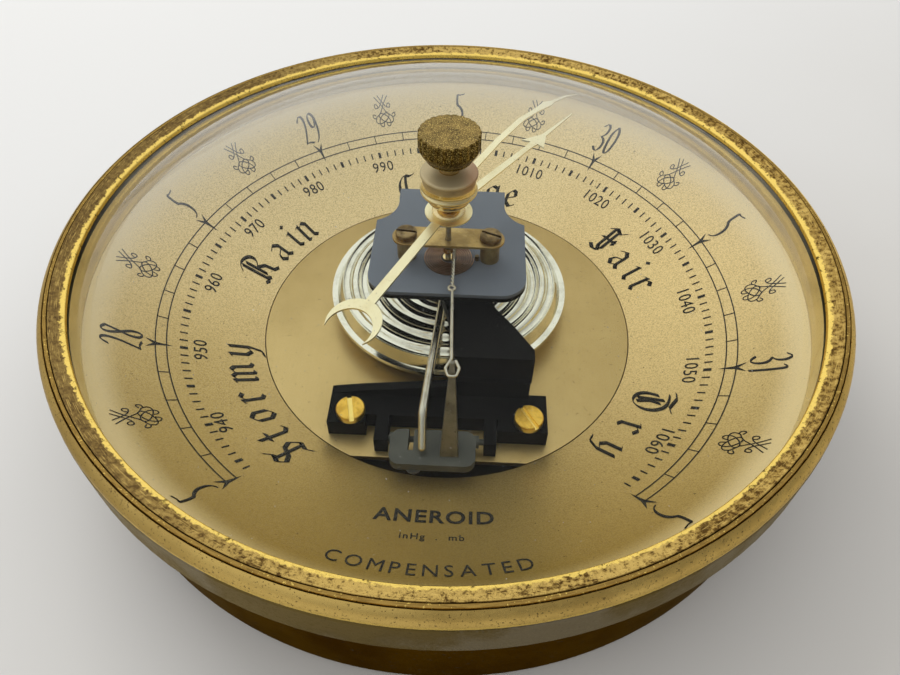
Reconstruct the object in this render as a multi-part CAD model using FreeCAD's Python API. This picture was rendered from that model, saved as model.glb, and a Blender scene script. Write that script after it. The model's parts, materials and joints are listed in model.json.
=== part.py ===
import FreeCAD, Part
import math
import os

os.makedirs("parts", exist_ok=True)

# Aneroid barometer, 125 mm bezel. Origin at the middle of the flat back, +Z out through
# the crystal, -Y towards the bottom of the dial. Millimetres.

Vector = FreeCAD.Vector
zUp = Vector(0, 0, 1)

# ---- driving dimensions -------------------------------------------------------------
bezel_r = 62.5              # outside of the bezel's skirt
bezel_lip_r = 58.2          # sight opening of the bezel
bezel_lip_z = 25.95         # underside of the lip
bezel_top_z = 27.45         # ridge of the bezel
skirt_z = 18.5              # lower edge of the bezel's skirt
drum_r = 60.35              # outside of the drum
drum_wall = 0.95
drum_top_z = 25.85
drum_plain_z = 18.3         # the outside is full size up to here, then steps in under the bezel
drum_step = 0.55
back_t = 1.0                # floor of the drum
bowl_r = 93.0               # radius of the dial's hollow face
bowl_z = 92.75              # height of the centre of that sphere
dial_t = 0.5
dial_hole_r = 32.9
dial_r = 58.2
crystal_t = 1.5
crystal_apex_z = 40.6       # outside of the dome
crystal_edge_r = 57.9
crystal_edge_z = 25.75
crystal_sphere_r = 120.3
plate_r = 32.75             # base plate of the movement
plate_z = 5.8               # its upper face
plate_t = 1.0
plate_chord_y = -29.7
capsule_y = 5.0             # the capsule stands behind the arbor
capsule_r = 21.2
capsule_rim_z = 9.7
capsule_top_z = 12.2
frame_top_z = 9.1           # crossbar of the moulded frame
ledge_z = 12.8
arm_z = 17.7
deck_z = 20.9               # upper platform
deck_t = 1.5
strip_z = 25.3              # upper face of the brass strip
strip_t = 0.5
rocker_y = -27.6            # rocker axis, parallel to X
rocker_z = 8.0
rod_foot_y = -30.9
chain_z = 22.0              # height of the pull wire
chain_x = 0.95              # winding radius on the arbor
lever_x = 1.75
lever_hook_y = -24.7
hand_z = 30.8               # underside of the hand at its hub
hand_angle = 30.0           # where both hands point, clockwise from the top of the dial
set_hand_z = 34.6
collar_top_z = 38.85
knob_z = 40.85
knob_top_z = 45.3
knob_r = 4.6
knob_flutes = 24
shaft_r = 1.54


# ---- small helpers ------------------------------------------------------------------
def save(name, shape):
    shape.exportStep("parts/" + name + ".step")
    print(name, len(shape.Solids), "solid(s), volume", round(shape.Volume, 2), "valid", shape.isValid())


def point(r, z):
    return Vector(r, 0, z)


def line(a, b):
    return Part.LineSegment(a, b).toShape()


def arc(a, middle, b):
    return Part.Arc(a, middle, b).toShape()


def revolved(edges):
    face = Part.Face(Part.Wire(edges))
    return face.revolve(Vector(0, 0, 0), zUp, 360)


def turned(profile):
    """A ring or disc from (radius, height) corners."""
    corners = [point(r, z) for r, z in profile]
    corners.append(corners[0])
    return Part.Face(Part.makePolygon(corners)).revolve(Vector(0, 0, 0), zUp, 360)


def cylinder(r, z0, z1, x=0, y=0):
    return Part.makeCylinder(r, z1 - z0, Vector(x, y, z0), zUp)


def ring(outer, inner, z0, z1, x=0, y=0):
    return cylinder(outer, z0, z1, x, y).cut(cylinder(inner, z0 - 1, z1 + 1, x, y))


def block(x0, x1, y0, y1, z0, z1):
    return Part.makeBox(x1 - x0, y1 - y0, z1 - z0, Vector(x0, y0, z0))


def prism(outline, z0, z1):
    corners = [Vector(x, y, z0) for x, y in outline]
    corners.append(corners[0])
    return Part.Face(Part.makePolygon(corners)).extrude(Vector(0, 0, z1 - z0))


def fused(shapes):
    whole = shapes[0].multiFuse(shapes[1:]) if len(shapes) > 1 else shapes[0]
    return whole.removeSplitter()


def moved(shape, x, y, z=0):
    copy = shape.copy()
    copy.translate(Vector(x, y, z))
    return copy


def sphere_z(radius, centre_z, r):
    """Height of the lower half of a sphere at distance r from its axis."""
    return centre_z - math.sqrt(radius * radius - r * r)


def dome_z(radius, apex_z, r):
    """Height of a dome at distance r from its axis."""
    return apex_z - radius + math.sqrt(radius * radius - r * r)


def slotted(head, width, z_top, depth, x, y, angle):
    """Cuts a screwdriver slot across the head at the given angle from Y."""
    slot = Part.makeBox(width, 12, depth + 1, Vector(-width / 2, -6, z_top - depth))
    slot.rotate(Vector(0, 0, 0), zUp, angle)
    slot.translate(Vector(x, y, 0))
    return head.cut(slot)


def wire_through(points, bend_r, r):
    """A round wire along straight runs joined by tangent arcs."""
    edges = []
    start = points[0]
    for i in range(1, len(points) - 1):
        before = (points[i] - points[i - 1]).normalize()
        after = (points[i + 1] - points[i]).normalize()
        turn = before.getAngle(after)
        back = bend_r * math.tan(turn / 2)
        a = points[i] - before * back
        b = points[i] + after * back
        bisector = (after - before).normalize()
        middle = points[i] + bisector * (bend_r / math.cos(turn / 2) - bend_r)
        edges.append(line(start, a))
        edges.append(arc(a, middle, b))
        start = b
    edges.append(line(start, points[-1]))
    path = Part.Wire(edges)
    direction = (points[1] - points[0]).normalize()
    section = Part.Wire(Part.Circle(points[0], direction, r).toShape())
    return path.makePipeShell([section], True, False)


# ---- case ---------------------------------------------------------------------------
csk_r = 1.9
pillar_spots = [(0.0, 16.0), (-12.1, -5.0), (12.1, -5.0)]
adjust_hole_r = 2.0


def case_drum():
    corner = 2.0
    inner = drum_r - drum_wall
    c = corner * (1 - math.sqrt(0.5))
    ci = (corner - drum_wall) * (1 - math.sqrt(0.5))
    bend_in = corner - drum_wall
    edges = [
        line(point(0, 0), point(drum_r - corner, 0)),
        arc(point(drum_r - corner, 0), point(drum_r - c, c), point(drum_r, corner)),
        line(point(drum_r, corner), point(drum_r, drum_plain_z)),
        line(point(drum_r, drum_plain_z), point(drum_r - drum_step, drum_plain_z)),
        line(point(drum_r - drum_step, drum_plain_z), point(drum_r - drum_step, drum_top_z)),
        line(point(drum_r - drum_step, drum_top_z), point(inner, drum_top_z)),
        line(point(inner, drum_top_z), point(inner, back_t + bend_in)),
        arc(point(inner, back_t + bend_in), point(inner - ci, back_t + ci), point(inner - bend_in, back_t)),
        line(point(inner - bend_in, back_t), point(0, back_t)),
        line(point(0, back_t), point(0, 0)),
    ]
    drum = revolved(edges)
    drum = drum.cut(cylinder(adjust_hole_r, -1, 2, 0, capsule_y))
    for x, y in pillar_spots:
        drum = drum.cut(Part.makeCone(csk_r + 0.05, 1.05, back_t, Vector(x, y, 0), zUp))
    save("case_drum", drum)


def dial_sleeve():
    inner = drum_r - drum_wall
    save("dial_sleeve", ring(inner - 0.05, 58.4, back_t + 1.2, 19.5))


def dial():
    hole_z = sphere_z(bowl_r, bowl_z, dial_hole_r)
    edge_z = sphere_z(bowl_r, bowl_z, dial_r)
    under = bowl_r + dial_t
    mid_r = (dial_hole_r + dial_r) / 2
    flange_r = 59.3
    low_z = sphere_z(under, bowl_z, dial_r)
    edges = [
        arc(point(dial_hole_r, hole_z), point(mid_r, sphere_z(bowl_r, bowl_z, mid_r)), point(dial_r, edge_z)),
        line(point(dial_r, edge_z), point(flange_r, edge_z)),
        line(point(flange_r, edge_z), point(flange_r, low_z)),
        line(point(flange_r, low_z), point(dial_r, low_z)),
        arc(point(dial_r, low_z), point(mid_r, sphere_z(under, bowl_z, mid_r)),
            point(dial_hole_r, sphere_z(under, bowl_z, dial_hole_r))),
        line(point(dial_hole_r, sphere_z(under, bowl_z, dial_hole_r)), point(dial_hole_r, hole_z)),
    ]
    save("dial", revolved(edges))


def spacer_ring():
    save("spacer_ring", ring(59.35, 58.3, 20.3, 24.9))


def crystal():
    inner_apex = crystal_apex_z - crystal_t
    inner_edge_r = 56.6
    under_z = 24.95
    hole = 1.6
    mid = 30.0
    radius = crystal_sphere_r
    edges = [
        line(point(inner_edge_r, under_z), point(59.25, under_z)),
        line(point(59.25, under_z), point(59.25, crystal_edge_z)),
        line(point(59.25, crystal_edge_z), point(crystal_edge_r, crystal_edge_z)),
        arc(point(crystal_edge_r, crystal_edge_z), point(mid, dome_z(radius, crystal_apex_z, mid)),
            point(hole, dome_z(radius, crystal_apex_z, hole))),
        line(point(hole, dome_z(radius, crystal_apex_z, hole)), point(hole, dome_z(radius, inner_apex, hole))),
        arc(point(hole, dome_z(radius, inner_apex, hole)), point(mid, dome_z(radius, inner_apex, mid)),
            point(inner_edge_r, under_z)),
    ]
    save("crystal", revolved(edges))


def crystal_gasket():
    save("crystal_gasket", ring(59.2, 58.35, crystal_edge_z + 0.02, bezel_lip_z - 0.02))


def bezel():
    bore = drum_r - drum_step + 0.05
    skirt_in = bezel_r - 0.6
    face_z = 25.0           # foot of the sloping outer face, above a fine groove
    ring_z = bezel_top_z - 0.07
    edges = [
        line(point(bezel_lip_r, bezel_lip_z), point(bezel_lip_r, 26.4)),
        arc(point(bezel_lip_r, 26.4), point(58.27, 26.6), point(58.45, 26.7)),
        line(point(58.45, 26.7), point(60.1, bezel_top_z - 0.05)),
        arc(point(60.1, bezel_top_z - 0.05), point(60.22, bezel_top_z), point(60.34, bezel_top_z - 0.06)),
        line(point(60.34, bezel_top_z - 0.06), point(60.42, bezel_top_z - 0.2)),
        line(point(60.42, bezel_top_z - 0.2), point(60.5, ring_z)),
        line(point(60.5, ring_z), point(60.95, ring_z)),
        line(point(60.95, ring_z), point(61.06, bezel_top_z - 0.27)),
        line(point(61.06, bezel_top_z - 0.27), point(61.2, bezel_top_z - 0.1)),
        arc(point(61.2, bezel_top_z - 0.1), point(61.98, 26.55), point(62.4, face_z)),
        line(point(62.4, face_z), point(62.28, face_z - 0.16)),
        line(point(62.28, face_z - 0.16), point(62.42, face_z - 0.32)),
        arc(point(62.42, face_z - 0.32), point(62.48, face_z - 0.5), point(bezel_r, face_z - 0.75)),
        line(point(bezel_r, face_z - 0.75), point(bezel_r, skirt_z + 0.3)),
        arc(point(bezel_r, skirt_z + 0.3), point(bezel_r - 0.3, skirt_z), point(skirt_in, skirt_z + 0.3)),
        line(point(skirt_in, skirt_z + 0.3), point(skirt_in, 23.4)),
        line(point(skirt_in, 23.4), point(bore, 24.6)),
        line(point(bore, 24.6), point(bore, bezel_lip_z)),
        line(point(bore, bezel_lip_z), point(bezel_lip_r, bezel_lip_z)),
    ]
    save("bezel", revolved(edges))


def skirt_spring():
    """Spring band that grips the drum inside the bezel's skirt."""
    bore = drum_r - drum_step + 0.05
    save("skirt_spring", turned([
        (bore, skirt_z + 0.5), (bore + 0.5, skirt_z + 0.5), (bezel_r - 0.8, 21.0),
        (bore + 0.5, 23.4), (bore, 23.4)]))


# ---- movement: base plate, pillars, frame ---------------------------------------------
frame_screw_spots = [(-14.2, -23.7, 12.0), (13.9, -24.0, 32.0)]
frame_screw_r = 2.3
stud_r = 3.0


def base_plate():
    plate = cylinder(plate_r, plate_z - plate_t, plate_z)
    plate = plate.cut(block(-40, 40, -50, plate_chord_y, 0, 10))
    plate = plate.cut(cylinder(stud_r + 0.05, 0, 10, 0, capsule_y))
    for x, y, angle in frame_screw_spots:
        plate = plate.cut(cylinder(1.25, 0, 10, x, y))
    for x, y in pillar_spots:
        plate = plate.cut(cylinder(1.05, 0, 10, x, y))
    save("base_plate", plate)


def pillars():
    low = back_t
    high = plate_z - plate_t
    solids = []
    for x, y in pillar_spots:
        solids.append(ring(2.6, 1.0, low, high, x, y))
    save("pillars", Part.makeCompound(solids))


def pillar_screws():
    solids = []
    for x, y in pillar_spots:
        head = Part.makeCone(csk_r, 0.98, 0.95, Vector(x, y, 0.03), zUp)
        screw = fused([head, cylinder(0.98, 0.5, 2.6, x, y)])
        slot = block(x - 0.25, x + 0.25, y - 3, y + 3, -1, 0.45)
        solids.append(screw.cut(slot))
    save("case_screws", Part.makeCompound(solids))
    solids = []
    for x, y in pillar_spots:
        screw = fused([cylinder(1.9, plate_z, plate_z + 0.9, x, y), cylinder(0.98, 3.1, plate_z, x, y)])
        solids.append(slotted(screw, 0.5, plate_z + 0.9, 0.45, x, y, 20))
    save("plate_screws", Part.makeCompound(solids))


def bridge_frame():
    """One moulding: crossbar, bearing lugs, ribs, arm over the capsule and upper platform."""
    left = block(-17.8, -11.8, -25.8, -18.6, plate_z, frame_top_z)
    right = block(9.1, 16.9, -26.2, -18.9, plate_z, frame_top_z)
    bar = block(-12.0, 9.3, -24.0, -18.6, plate_z, frame_top_z)
    lug_left = block(-10.1, -8.0, -28.7, -23.8, plate_z, frame_top_z)
    lug_right = block(7.0, 8.9, -28.7, -23.8, plate_z, frame_top_z)
    rib_profile = [(-17.4, frame_top_z - 0.5), (-17.4, frame_top_z + 0.1), (-13.0, 10.0), (2.2, 12.1),
                   (2.2, frame_top_z - 0.5)]
    corners = [Vector(x, -20.1, z) for x, z in rib_profile]
    corners.append(corners[0])
    rib = Part.Face(Part.makePolygon(corners)).extrude(Vector(0, 1.5, 0))
    wall = block(2.1, 14.0, -19.6, -17.2, plate_z, ledge_z)
    riser = block(2.1, 14.3, -18.6, -16.9, ledge_z - 1.0, arm_z)
    arm = prism([(1.9, -18.6), (14.3, -18.6), (14.3, -16.6), (11.3, -12.0), (8.2, -8.0), (6.4, -3.0),
                 (6.4, 8.0), (-1.2, 8.0), (-1.0, -4.5), (0.6, -10.0)], 15.6, arm_z)
    neck = block(-1.1, 6.2, -3.0, 7.5, arm_z - 0.5, deck_z - deck_t + 0.2)
    shoulder = 3.4
    deck_edges = [
        line(Vector(-8.6, -8.3, 0), Vector(8.6, -8.3, 0)),
        arc(Vector(8.6, -8.3, 0), Vector(11.7, -7.1, 0), Vector(13.0, -4.0, 0)),
        line(Vector(13.0, -4.0, 0), Vector(13.0, 9.4, 0)),
        arc(Vector(13.0, 9.4, 0), Vector(13.0 - shoulder * 0.75, 11.5, 0), Vector(13.0 - shoulder, 15.6, 0)),
        line(Vector(13.0 - shoulder, 15.6, 0), Vector(13.0 - shoulder, 18.6, 0)),
        line(Vector(13.0 - shoulder, 18.6, 0), Vector(shoulder - 13.0, 18.6, 0)),
        line(Vector(shoulder - 13.0, 18.6, 0), Vector(shoulder - 13.0, 15.6, 0)),
        arc(Vector(shoulder - 13.0, 15.6, 0), Vector(shoulder * 0.75 - 13.0, 11.5, 0), Vector(-13.0, 9.4, 0)),
        line(Vector(-13.0, 9.4, 0), Vector(-13.0, -4.0, 0)),
        arc(Vector(-13.0, -4.0, 0), Vector(-11.7, -7.1, 0), Vector(-8.6, -8.3, 0)),
    ]
    deck = Part.Face(Part.Wire(deck_edges)).extrude(Vector(0, 0, deck_t))
    deck = moved(deck, 0, 0, deck_z - deck_t)
    frame = fused([left, right, bar, lug_left, lug_right, rib, wall, riser, arm, neck, deck])
    for x, y, angle in frame_screw_spots:
        frame = frame.cut(cylinder(1.25, 0, 12, x, y))
    pin_bore = Part.makeCylinder(0.56, 22, Vector(-11.5, rocker_y, rocker_z), Vector(1, 0, 0))
    frame = frame.cut(pin_bore)
    frame = frame.cut(cylinder(0.5, deck_z - 1.0, deck_z + 1))
    save("bridge_frame", frame)


def frame_screws():
    solids = []
    top = frame_top_z + 1.25
    for x, y, angle in frame_screw_spots:
        head = cylinder(frame_screw_r, frame_top_z, top, x, y)
        rim = [edge for edge in head.Edges if abs(edge.BoundBox.ZMin - top) < 1e-6 and edge.BoundBox.ZLength < 1e-6]
        head = head.makeChamfer(0.15, rim)
        screw = fused([head, cylinder(1.2, plate_z - plate_t - 0.9, frame_top_z + 0.2, x, y)])
        solids.append(slotted(screw, 0.75, top, 0.6, x, y, angle))
    save("frame_screws", Part.makeCompound(solids))


def frame_nuts():
    solids = []
    top = plate_z - plate_t
    for x, y, angle in frame_screw_spots:
        corners = []
        for i in range(6):
            a = math.radians(60 * i)
            corners.append((x + 2.6 * math.cos(a), y + 2.6 * math.sin(a)))
        solids.append(prism(corners, top - 1.6, top).cut(cylinder(1.22, 0, 10, x, y)))
    save("frame_nuts", Part.makeCompound(solids))


# ---- capsule ----------------------------------------------------------------------------
def corrugated(inner_r, outer_r, z_flat, amplitude, waves, thick):
    """Closed section of a wavy diaphragm with its crests at z_flat, revolved."""
    step = (outer_r - inner_r) / (2 * waves)
    top = []
    low = []
    for i in range(2 * waves):
        r0 = inner_r + i * step
        r1 = r0 + step
        bulge = amplitude if i % 2 == 0 else -amplitude
        middle = (r0 + r1) / 2
        top.append(arc(point(r0, z_flat), point(middle, z_flat + bulge), point(r1, z_flat)))
        low.append(arc(point(r1, z_flat - thick), point(middle, z_flat + bulge - thick), point(r0, z_flat - thick)))
    return top, low


def capsule_upper():
    waves = 5
    outer = 19.2
    hole = 3.6
    thick = 0.28
    level = capsule_top_z - 0.42
    top, low = corrugated(hole, outer, level, 0.42, waves, thick)
    rim_top = capsule_rim_z + 0.35
    edges = top
    edges.append(line(point(outer, level), point(20.2, rim_top)))
    edges.append(line(point(20.2, rim_top), point(capsule_r, rim_top)))
    edges.append(line(point(capsule_r, rim_top), point(capsule_r, capsule_rim_z + 0.02)))
    edges.append(line(point(capsule_r, capsule_rim_z + 0.02), point(19.9, capsule_rim_z + 0.02)))
    edges.append(line(point(19.9, capsule_rim_z + 0.02), point(outer, level - thick)))
    edges.extend(reversed(low))
    edges.append(line(point(hole, level - thick), point(hole, level)))
    wire = Part.Wire(Part.__sortEdges__(edges))
    shell = Part.Face(wire).revolve(Vector(0, 0, 0), zUp, 360)
    save("capsule_upper", moved(shell, 0, capsule_y))


def capsule_lower():
    floor_z = 7.6
    rim_low = capsule_rim_z - 0.35
    shell = turned([
        (stud_r, floor_z), (19.2, floor_z), (20.0, rim_low), (capsule_r, rim_low), (capsule_r, capsule_rim_z - 0.02),
        (19.7, capsule_rim_z - 0.02), (19.0, floor_z + 0.3), (stud_r, floor_z + 0.3)])
    save("capsule_lower", moved(shell, 0, capsule_y))


def capsule_stud():
    """Threaded foot of the capsule, bored for the zero screw, and its nut under the plate."""
    stud = fused([cylinder(stud_r, 3.0, 8.4), cylinder(5.0, plate_z + 0.05, 7.55)])
    stud = stud.cut(cylinder(1.85, 0, 7.0))
    save("capsule_stud", moved(stud, 0, capsule_y))
    corners = []
    for i in range(6):
        a = math.radians(60 * i + 30)
        corners.append((5.0 * math.cos(a), 5.0 * math.sin(a)))
    nut = prism(corners, 3.2, plate_z - plate_t).cut(cylinder(stud_r + 0.03, 0, 10))
    save("capsule_nut", moved(nut, 0, capsule_y))


def zero_screw():
    screw = cylinder(1.78, 1.6, 6.4)
    screw = screw.cut(block(-0.35, 0.35, -3, 3, 1, 2.5))
    save("zero_screw", moved(screw, 0, capsule_y))


def capsule_boss():
    """Centre of the capsule that rises and falls, with the post that grips the rod."""
    level = capsule_top_z - 0.42
    boss = fused([cylinder(3.2, level - 0.25, level + 0.35), cylinder(1.9, level + 0.2, 14.75)])
    hole = Part.makeCylinder(0.7, 4, rod_points[0], rod_direction)
    save("capsule_boss", moved(boss, 0, capsule_y).cut(hole))


# ---- rod from the capsule to the rocker ---------------------------------------------------
rod_r = 0.68
rod_points = [Vector(-0.05, capsule_y + 0.4, 14.0), Vector(-2.5, -26.9, 14.6), Vector(-2.4, rod_foot_y + 0.05, 10.75)]
rod_direction = (rod_points[1] - rod_points[0]).normalize()


def temperature_rod():
    rod = wire_through(rod_points, 1.6, rod_r)
    foot = Part.makeSphere(rod_r, rod_points[-1])
    save("temperature_rod", fused([rod, foot]))


# ---- rocker -------------------------------------------------------------------------------
rocker_top_z = 9.8
rocker_x0 = -7.4
rocker_x1 = 5.7


def rocker_plate():
    low_z = rocker_top_z - 1.7
    plate = block(rocker_x0, rocker_x1, -33.2, -26.9, low_z, rocker_top_z)
    corners = [edge for edge in plate.Edges if edge.BoundBox.ZLength > 1.0]
    plate = plate.makeFillet(1.7, corners)
    plate = plate.cut(block(-4.6, -3.8, -30.7, -25, 0, 12))
    hub = Part.makeCylinder(1.0, 13.9, Vector(-7.7, rocker_y, rocker_z), Vector(1, 0, 0))
    plate = fused([plate, hub]).cut(block(-4.6, -3.8, -30.7, -25, 0, 12))
    plate = plate.cut(Part.makeCylinder(0.5, 30, Vector(-15, rocker_y, rocker_z), Vector(1, 0, 0)))
    weight = Part.makeSphere(1.3, Vector(-3.6, -32.4, low_z + 0.1))
    weight = weight.cut(block(-8, 2, -36, -28, low_z, 12))
    save("rocker_plate", plate)
    save("rocker_weight", weight)


def rocker_pin():
    save("rocker_pin", Part.makeCylinder(0.5, 18.6, Vector(-9.9, rocker_y, rocker_z), Vector(1, 0, 0)))


def rectangle(x, y, z, half_x, half_y):
    corners = [Vector(x - half_x, y - half_y, z), Vector(x + half_x, y - half_y, z),
               Vector(x + half_x, y + half_y, z), Vector(x - half_x, y + half_y, z)]
    corners.append(corners[0])
    return Part.makePolygon(corners)


def rocker_lever():
    low = rectangle(1.7, -30.6, rocker_top_z, 1.4, 1.1)
    top = rectangle(lever_x, -24.1, 23.2, 0.34, 0.3)
    save("rocker_lever", Part.makeLoft([low, top], True, True))


# ---- pull wire and chain --------------------------------------------------------------------
eye_y = -7.5


def pull_wire():
    """Thin wire: an open hook round the lever's tip, a straight run and an eye at the chain."""
    r = 0.24
    half = 1.0
    front_y = lever_hook_y - 1.1
    side_y = lever_hook_y + 0.35
    back_y = lever_hook_y + 2.15
    hook = [Vector(lever_x + 0.45, back_y - 0.4, chain_z), Vector(lever_x + half, side_y, chain_z),
            Vector(lever_x + 0.55, front_y, chain_z), Vector(lever_x - 0.55, front_y, chain_z),
            Vector(lever_x - half, side_y, chain_z), Vector(lever_x - 0.2, back_y, chain_z),
            Vector(chain_x + 0.1, eye_y - 1.0, chain_z)]
    wire = wire_through(hook, 0.4, r)
    eye = Part.makeTorus(0.5, r, Vector(chain_x, eye_y - 0.5, chain_z), zUp)
    save("pull_wire", fused([wire, eye]))


def pull_chain():
    chain = Part.makeCylinder(0.38, 2.1 - eye_y, Vector(chain_x, eye_y, chain_z), Vector(0, 1, 0))
    eye = Part.makeTorus(0.5, 0.24, Vector(chain_x, eye_y - 0.5, chain_z), zUp)
    save("pull_chain", chain.cut(eye))


# ---- arbor, hairspring, hand --------------------------------------------------------------------
def arbor():
    save("arbor", cylinder(0.45, deck_z - 0.9, 31.5))
    save("chain_drum", ring(0.85, 0.45, 22.65, 23.6))
    save("hairspring_collet", ring(0.9, 0.45, deck_z + 0.1, deck_z + 0.55))


def spiral_band():
    """The hairspring as one strip: its two long sides are chains of half circles."""
    first = 1.25
    growth = 0.37
    thick = 0.13
    half_turns = 16
    edges = []
    starts = []
    ends = []
    for offset in (0.0, thick):
        side = 1
        centre = 0.0
        radius = first + offset
        low = deck_z + 0.15
        starts.append(Vector(radius, 0, low))
        for i in range(half_turns):
            a = Vector(centre + side * radius, 0, low)
            m = Vector(centre, side * radius, low)
            b = Vector(centre - side * radius, 0, low)
            edges.append(arc(a, m, b))
            centre += side * growth / 2
            radius += growth / 2
            side = -side
        ends.append(b)
    edges.append(line(starts[0], starts[1]))
    edges.append(line(ends[0], ends[1]))
    strip = Part.Face(Part.Wire(Part.__sortEdges__(edges)))
    return strip.extrude(Vector(0, 0, 0.3)), ends[1]


def hairspring_parts():
    spring, end = spiral_band()
    save("hairspring", spring)
    stud = cylinder(0.35, deck_z, deck_z + 0.9, end.x + 0.13 + 0.36, 0)
    save("hairspring_stud", stud)


post_x = 6.9
strip_y = 0.5


def strip_posts():
    solids = []
    for x in (-post_x, post_x):
        solids.append(ring(1.6, 0.8, deck_z, strip_z - strip_t, x, strip_y))
    save("strip_posts", Part.makeCompound(solids))


def top_strip():
    half = 2.3
    body = block(-post_x, post_x, strip_y - half, strip_y + half, strip_z - strip_t, strip_z)
    ends = [cylinder(half, strip_z - strip_t, strip_z, x, strip_y) for x in (-post_x, post_x)]
    strip = fused([body] + ends)
    strip = strip.cut(cylinder(0.5, 20, 30))
    for x in (-post_x, post_x):
        strip = strip.cut(cylinder(0.85, 20, 30, x, strip_y))
    save("top_strip", strip)


def strip_screws():
    solids = []
    top = strip_z + 0.95
    for x, angle in ((-post_x, 84), (post_x, 68)):
        head = cylinder(1.75, strip_z, top, x, strip_y)
        rim = [edge for edge in head.Edges if abs(edge.BoundBox.ZMin - top) < 1e-6 and edge.BoundBox.ZLength < 1e-6]
        head = head.makeFillet(0.35, rim)
        screw = fused([head, cylinder(0.78, deck_z + 0.6, strip_z + 0.2, x, strip_y)])
        solids.append(slotted(screw, 0.45, top, 0.45, x, strip_y, angle))
    save("strip_screws", Part.makeCompound(solids))


def band(profile, thick):
    """A thin surface of revolution that follows (radius, height) points."""
    low = [(r, z) for r, z in profile]
    high = [(r, z + thick) for r, z in reversed(profile)]
    return turned(low + high)


def aimed(shape):
    copy = shape.copy()
    copy.rotate(Vector(0, 0, 0), zUp, -hand_angle)
    return copy


def indicator_hand():
    """Flat sheet hand: hub ring, barbed pointer along +Y and crescent tail along -Y."""
    hub_r = 3.75
    thick = 0.3
    needle_r = 45.6
    barb_r = 29.6
    outline = [(0.75, 0), (0.55, barb_r - 2.5), (0.75, barb_r - 0.5), (2.3, barb_r - 1.0), (1.1, barb_r + 1.9),
               (0.45, barb_r + 3.6), (0.1, needle_r)]
    mirrored = [(-x, y) for x, y in reversed(outline)]
    pointer = prism(outline + mirrored, 0, 40)
    tail_r = 22.0
    tail = prism([(0.75, 0), (0.8, -tail_r), (-0.8, -tail_r), (-0.75, 0)], 0, 40)
    crescent = cylinder(4.1, 0, 40, 0, -24.8).cut(cylinder(3.5, -1, 41, 0, -26.1))
    plan = fused([pointer, tail, crescent])
    drop = math.tan(math.radians(8.4))
    low_z = hand_z - (50 - hub_r) * drop
    sheet = band([(0, hand_z), (hub_r - 0.2, hand_z), (50, low_z)], thick)
    arms = plan.common(sheet)
    hub = cylinder(hub_r, hand_z, hand_z + thick)
    hand = fused([arms, hub]).cut(cylinder(0.5, 20, 40))
    save("indicator_hand", aimed(hand))


def hand_cap():
    top = 32.0
    base = hand_z + 0.3
    edges = [
        line(point(0.46, base), point(2.65, base)),
        line(point(2.65, base), point(2.65, base + 0.25)),
        arc(point(2.65, base + 0.25), point(1.9, top - 0.16), point(0.75, top)),
        line(point(0.75, top), point(0.46, top - 0.3)),
        line(point(0.46, top - 0.3), point(0.46, base)),
    ]
    save("hand_cap", revolved(edges))
    save("hand_bush", ring(1.1, 0.46, hand_z - 2.2, hand_z))


# ---- set hand, collar and knob ----------------------------------------------------------------------
def set_hand():
    hub_r = 3.6
    outline = [(0.65, 0), (0.5, 28.0), (0.75, 31.5), (0.9, 33.0), (0.4, 35.0), (0.12, 47.3)]
    mirrored = [(-x, y) for x, y in reversed(outline)]
    plan = prism(outline + mirrored, 0, 60)
    profile = [(0, set_hand_z), (5.0, set_hand_z), (15.0, set_hand_z + 0.75), (23.0, set_hand_z + 0.55),
               (33.0, set_hand_z - 1.5), (41.0, set_hand_z - 3.9), (50.0, set_hand_z - 7.6)]
    arms = plan.common(band(profile, 0.3))
    hub = cylinder(hub_r, set_hand_z, set_hand_z + 0.3)
    hand = fused([arms, hub]).cut(cylinder(shaft_r, 20, 60))
    save("set_hand", aimed(hand))


def set_collar():
    base = set_hand_z + 0.3
    top = collar_top_z
    edges = [
        line(point(shaft_r, base), point(4.1, base)),
        arc(point(4.1, base), point(4.4, base + 0.35), point(4.25, base + 0.8)),
        arc(point(4.25, base + 0.8), point(4.05, base + 1.9), point(4.3, top - 0.9)),
        arc(point(4.3, top - 0.9), point(4.4, top - 0.6), point(4.2, top - 0.3)),
        arc(point(4.2, top - 0.3), point(3.1, top - 0.08), point(shaft_r, top)),
        line(point(shaft_r, top), point(shaft_r, base)),
    ]
    save("set_collar", revolved(edges))
    low = 32.9
    boss_edges = [
        line(point(shaft_r, low), point(2.4, low)),
        arc(point(2.4, low), point(3.1, low + 0.35), point(3.4, low + 1.0)),
        line(point(3.4, low + 1.0), point(3.4, set_hand_z)),
        line(point(3.4, set_hand_z), point(shaft_r, set_hand_z)),
        line(point(shaft_r, set_hand_z), point(shaft_r, low)),
    ]
    save("set_boss", revolved(boss_edges))
    save("set_shaft", cylinder(shaft_r, low, knob_z + 2.0))


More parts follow.
